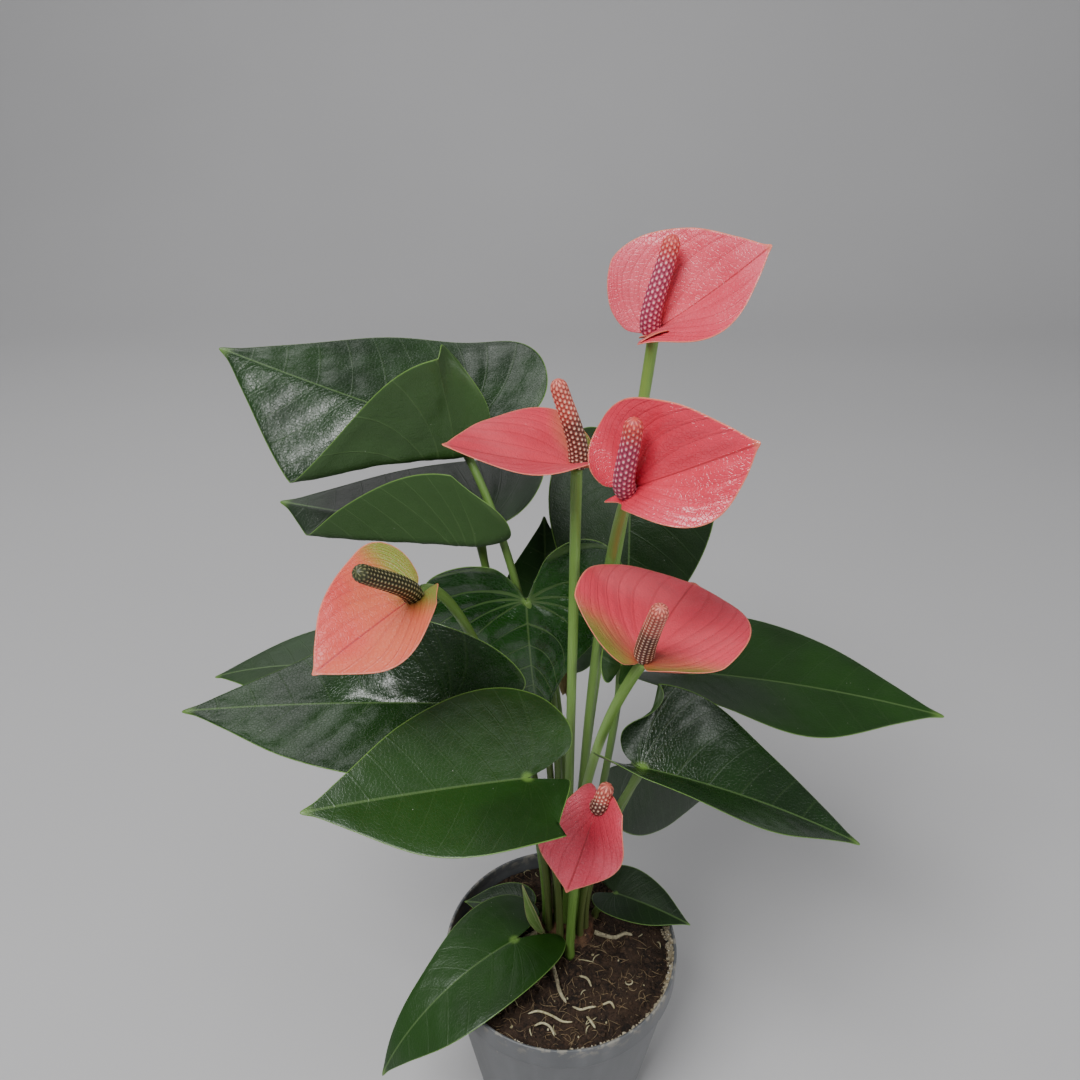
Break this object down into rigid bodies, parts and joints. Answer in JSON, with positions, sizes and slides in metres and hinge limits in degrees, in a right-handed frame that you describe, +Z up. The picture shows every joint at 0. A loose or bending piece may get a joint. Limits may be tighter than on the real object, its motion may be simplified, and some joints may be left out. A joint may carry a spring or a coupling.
{
  "type": "potted flamingo plant",
  "caption": "Potted flamingo plant with glossy heart-shaped leaves and pink spathes on long stalks, in a round tapered nursery pot filled with soil.",
  "frame": {"origin": "centre of the pot's flat underside", "axes": "+Z up, -Y towards the front of the plant, from where it is seen"},
  "size_m": [0.3481, 0.2137, 0.4716],
  "materials": {
    "pot": "satin moulded plastic, grey",
    "soil": "damp peat and coir, dark brown",
    "crown": "rough reddish-brown stem base",
    "leaf_blade": "waxy dark green leaf with pale veins and margin",
    "petiole": "smooth green leaf stem",
    "flower_stalk": "smooth yellow-green flower stem",
    "spathe": "waxy salmon-pink spathe with raised veins and green tints",
    "spadix": "finely dotted flower spike",
    "sheath": "dry papery sheath",
    "aerial_root": "pale rough root"
  },
  "bodies": {
    "root": {"pot": "pot", "soil": "soil", "crown": "crown", "leaf_top_left_blade": "leaf_blade", "leaf_top_left_petiole": "petiole", "leaf_second_left_blade": "leaf_blade", "leaf_second_left_petiole": "petiole", "leaf_back_blade": "leaf_blade", "leaf_back_petiole": "petiole", "leaf_mid_left_blade": "leaf_blade", "leaf_mid_left_petiole": "petiole", "leaf_under_left_blade": "leaf_blade", "leaf_under_left_petiole": "petiole", "leaf_centre_blade": "leaf_blade", "leaf_centre_petiole": "petiole", "leaf_young_blade": "leaf_blade", "leaf_young_petiole": "petiole", "leaf_front_blade": "leaf_blade", "leaf_front_petiole": "petiole", "leaf_right_high_blade": "leaf_blade", "leaf_right_high_petiole": "petiole", "leaf_right_low_blade": "leaf_blade", "leaf_right_low_petiole": "petiole", "leaf_shaded_blade": "leaf_blade", "leaf_shaded_petiole": "petiole", "leaf_over_rim_blade": "leaf_blade", "leaf_over_rim_petiole": "petiole", "leaf_rim_right_blade": "leaf_blade", "leaf_rim_right_petiole": "petiole", "leaf_on_soil_blade": "leaf_blade", "leaf_on_soil_petiole": "petiole", "leaf_behind_blade": "leaf_blade", "leaf_behind_petiole": "petiole", "flower_top_spathe": "spathe", "flower_top_spadix": "spadix", "flower_top_stalk": "flower_stalk", "flower_upper_left_spathe": "spathe", "flower_upper_left_spadix": "spadix", "flower_upper_left_stalk": "flower_stalk", "flower_upper_right_spathe": "spathe", "flower_upper_right_spadix": "spadix", "flower_upper_right_stalk": "flower_stalk", "flower_right_spathe": "spathe", "flower_right_spadix": "spadix", "flower_right_stalk": "flower_stalk", "flower_left_spathe": "spathe", "flower_left_spadix": "spadix", "flower_left_stalk": "flower_stalk", "flower_low_spathe": "spathe", "flower_low_spadix": "spadix", "flower_low_stalk": "flower_stalk", "sheath_dry": "sheath", "sheath_green": "sheath", "root_front": "aerial_root", "root_left": "aerial_root", "root_right": "aerial_root"}
  },
  "joints": []
}
